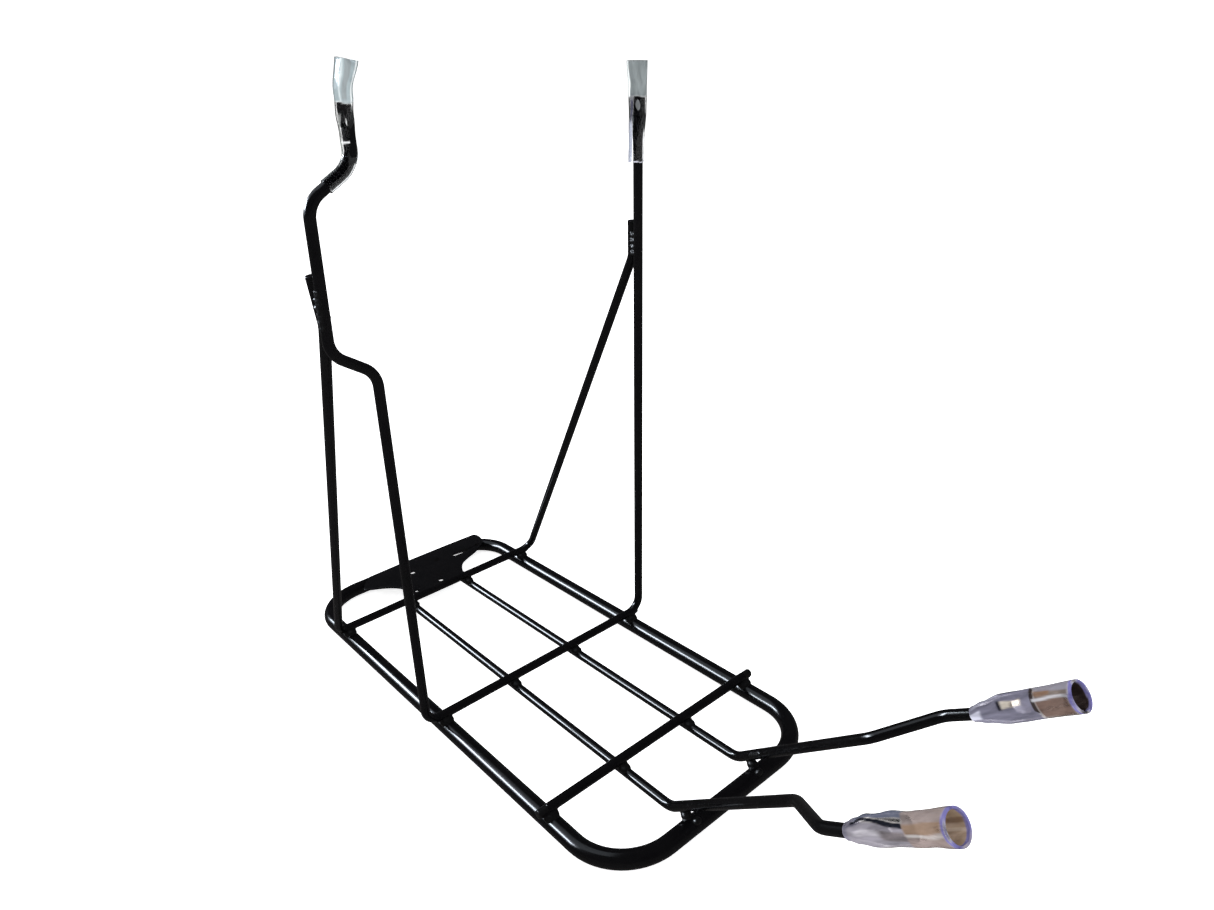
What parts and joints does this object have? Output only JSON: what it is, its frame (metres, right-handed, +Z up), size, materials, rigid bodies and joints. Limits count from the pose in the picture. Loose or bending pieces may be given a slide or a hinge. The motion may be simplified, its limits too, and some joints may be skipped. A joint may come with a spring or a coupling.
{
  "type": "rear rack",
  "caption": "Bicycle rear rack welded from bent round rod, with a flat platform, two braced legs, two front stays, forged eyes in clear sleeves and a stamped tail plate.",
  "frame": {"origin": "centre of the rack's footprint, on the surface under the loop, with the rack lying on its platform and its legs up", "axes": "+X towards the front stays, +Y towards the leg without an offset (the right leg), +Z up along the legs. On a bicycle the rack is turned half a turn about X, so that the legs hang down and the offset leg is on the left"},
  "size_m": [0.5025, 0.2006, 0.3726],
  "materials": {
    "black_paint": "gloss black powder coat over steel rod",
    "weld_paint": "gloss black powder coat over slightly rippled weld metal",
    "plate_paint": "semi-gloss black powder coat over pressed sheet",
    "leg_sleeve_pvc": "milky clear soft vinyl tube",
    "stay_sleeve_pvc": "clear soft vinyl tube with a faint violet cast"
  },
  "bodies": {
    "root": {"brace_hoop": "black_paint", "front_cross_rod": "black_paint", "left_stay_rod": "black_paint", "leg_hoop": "black_paint", "outer_loop": "black_paint", "right_stay_rod": "black_paint", "tail_plate": "plate_paint", "weld_brace_hoop_left_rail": "weld_paint", "weld_brace_hoop_left_stay": "weld_paint", "weld_brace_hoop_right_rail": "weld_paint", "weld_brace_hoop_right_stay": "weld_paint", "weld_front_rod_left_rail": "weld_paint", "weld_front_rod_left_stay": "weld_paint", "weld_front_rod_right_rail": "weld_paint", "weld_front_rod_right_stay": "weld_paint", "weld_left_brace_top": "weld_paint", "weld_left_stay_front_bar": "weld_paint", "weld_leg_hoop_left_rail": "weld_paint", "weld_leg_hoop_left_stay": "weld_paint", "weld_leg_hoop_right_rail": "weld_paint", "weld_leg_hoop_right_stay": "weld_paint", "weld_plate_brace_hoop": "weld_paint", "weld_plate_rear_bar": "weld_paint", "weld_right_brace_top": "weld_paint", "weld_right_stay_front_bar": "weld_paint"},
    "left_leg_sleeve": {"left_leg_sleeve": "leg_sleeve_pvc"},
    "left_stay_sleeve": {"left_stay_sleeve": "stay_sleeve_pvc"},
    "right_leg_sleeve": {"right_leg_sleeve": "leg_sleeve_pvc"},
    "right_stay_sleeve": {"right_stay_sleeve": "stay_sleeve_pvc"}
  },
  "joints": [
    {"name": "left_leg_sleeve_slide", "type": "slide", "parent": "root", "child": "left_leg_sleeve", "axis": [0.0815, 0, 0.9967], "range_m": [0, 0.05]},
    {"name": "left_stay_sleeve_slide", "type": "slide", "parent": "root", "child": "left_stay_sleeve", "axis": [0.784, 0, 0.6208], "range_m": [0, 0.05]},
    {"name": "right_leg_sleeve_slide", "type": "slide", "parent": "root", "child": "right_leg_sleeve", "axis": [0.0815, 0, 0.9967], "range_m": [0, 0.05]},
    {"name": "right_stay_sleeve_slide", "type": "slide", "parent": "root", "child": "right_stay_sleeve", "axis": [0.784, 0, 0.6208], "range_m": [0, 0.05]}
  ]
}
